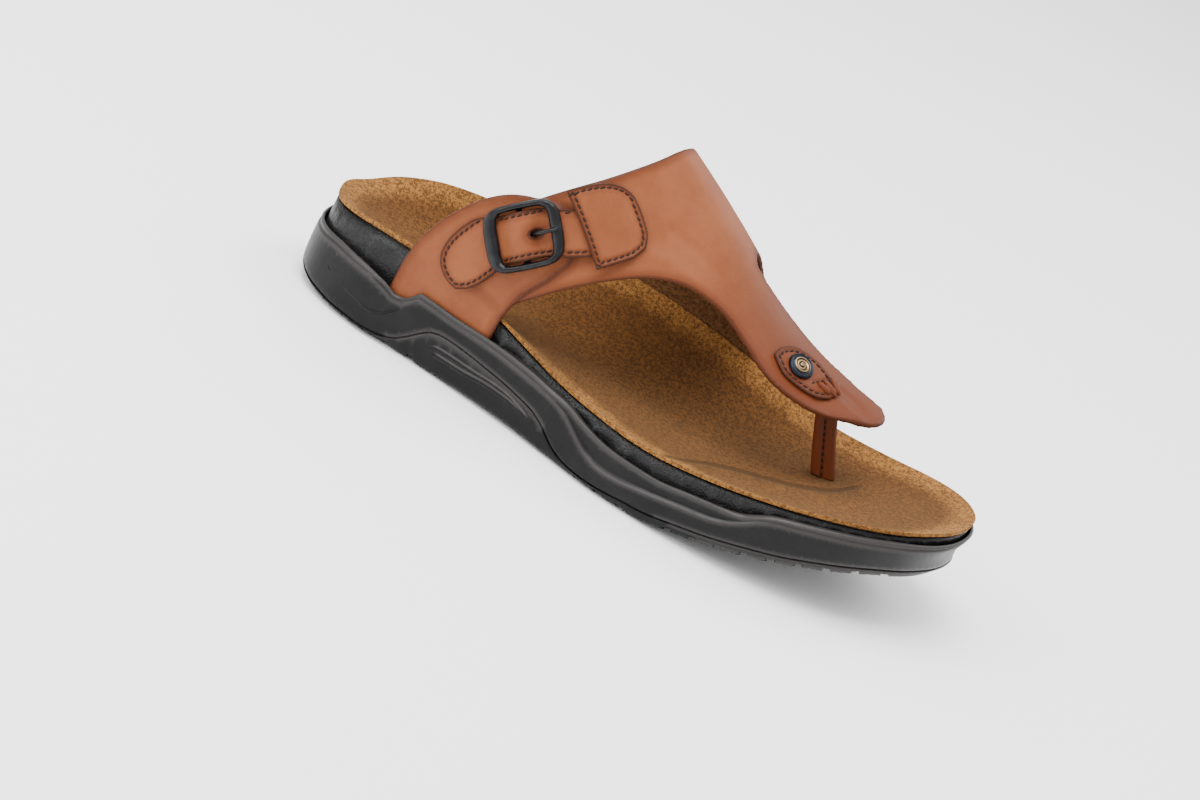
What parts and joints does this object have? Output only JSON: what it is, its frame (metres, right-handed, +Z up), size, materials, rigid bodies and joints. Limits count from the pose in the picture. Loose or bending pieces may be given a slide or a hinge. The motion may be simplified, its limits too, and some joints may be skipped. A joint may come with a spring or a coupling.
{
  "type": "toe post sandal",
  "caption": "Right toe post sandal: leather T-strap with a buckled strap on the outer side, post between the toes, dished suede footbed and treaded cupped outsole.",
  "frame": {"origin": "middle of the outsole's outline, on the floor plane under the sole", "axes": "+X from heel to toe, +Y to the shoe's inner side, +Z up"},
  "size_m": [0.2714, 0.103, 0.112],
  "materials": {
    "black_rubber": "satin moulded black",
    "black_wrap": "grained matte black",
    "tan_suede": "golden tan suede nap",
    "tan_leather": "smooth satin cognac",
    "black_metal": "satin black",
    "dark_metal": "dark antique"
  },
  "bodies": {
    "root": {"outsole": "black_rubber", "footbed": "black_wrap", "insole": "tan_suede", "upper": "tan_leather", "buckle_strap": "tan_leather", "end_patch": "tan_leather", "post_patch": "tan_leather", "toe_post": "tan_leather", "buckle": "black_metal", "buckle_prong": "black_metal", "rivet": "dark_metal"}
  },
  "joints": []
}
